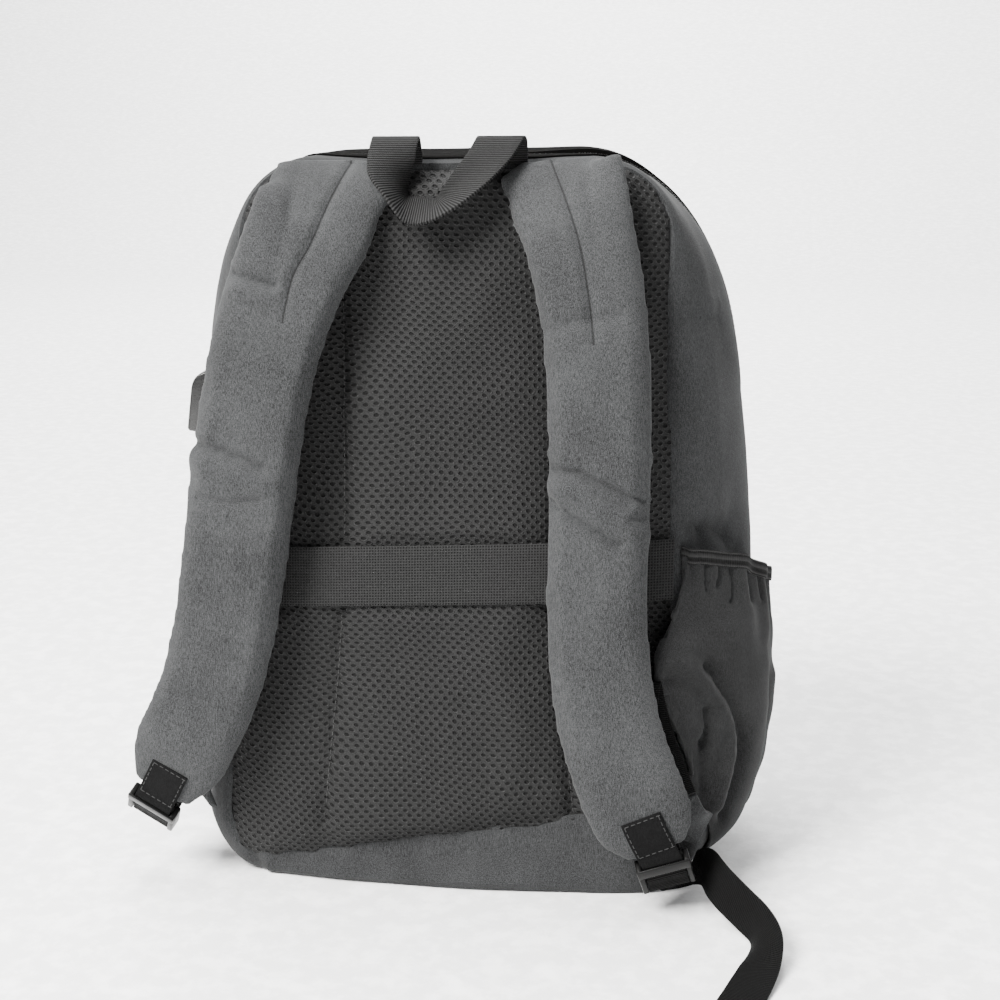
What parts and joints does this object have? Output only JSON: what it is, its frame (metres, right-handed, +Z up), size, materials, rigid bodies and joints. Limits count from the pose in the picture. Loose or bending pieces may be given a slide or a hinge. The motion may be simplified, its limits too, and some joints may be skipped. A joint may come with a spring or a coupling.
{
  "type": "laptop backpack",
  "caption": "Upright cloth laptop backpack with a padded mesh back, padded shoulder straps, grab handle, luggage band, gathered side pocket and a cable port.",
  "frame": {"origin": "on the floor at the middle of the flat base", "axes": "+Z up; -Y is the wearer's side with the back panel and straps; +X is the right of that side as seen, with the pocket"},
  "size_m": [0.4114, 0.3427, 0.4628],
  "materials": {
    "grey_cloth": "heather grey woven polyester",
    "strap_cloth": "heather grey woven polyester over foam",
    "black_mesh": "black open spacer mesh over foam",
    "black_webbing": "black ribbed webbing",
    "zip_tape": "black zip tape and coil",
    "slider_metal": "dark painted slider",
    "buckle_plastic": "dark grey moulded plastic",
    "port_plastic": "black moulded plastic"
  },
  "bodies": {
    "root": {"bag_front": "grey_cloth", "bag_rear": "grey_cloth", "main_zip": "zip_tape", "zip_slider": "slider_metal", "back_panel": "black_mesh", "luggage_band": "black_webbing", "handle": "black_webbing", "side_pocket_right": "grey_cloth", "pocket_binding_right": "black_webbing", "usb_port": "port_plastic", "strap_left": "strap_cloth", "buckle_left": "buckle_plastic", "strap_tab_left": "black_webbing", "webbing_left": "black_webbing", "anchor_left": "strap_cloth", "strap_right": "strap_cloth", "buckle_right": "buckle_plastic", "strap_tab_right": "black_webbing", "webbing_right": "black_webbing", "anchor_right": "strap_cloth"}
  },
  "joints": []
}
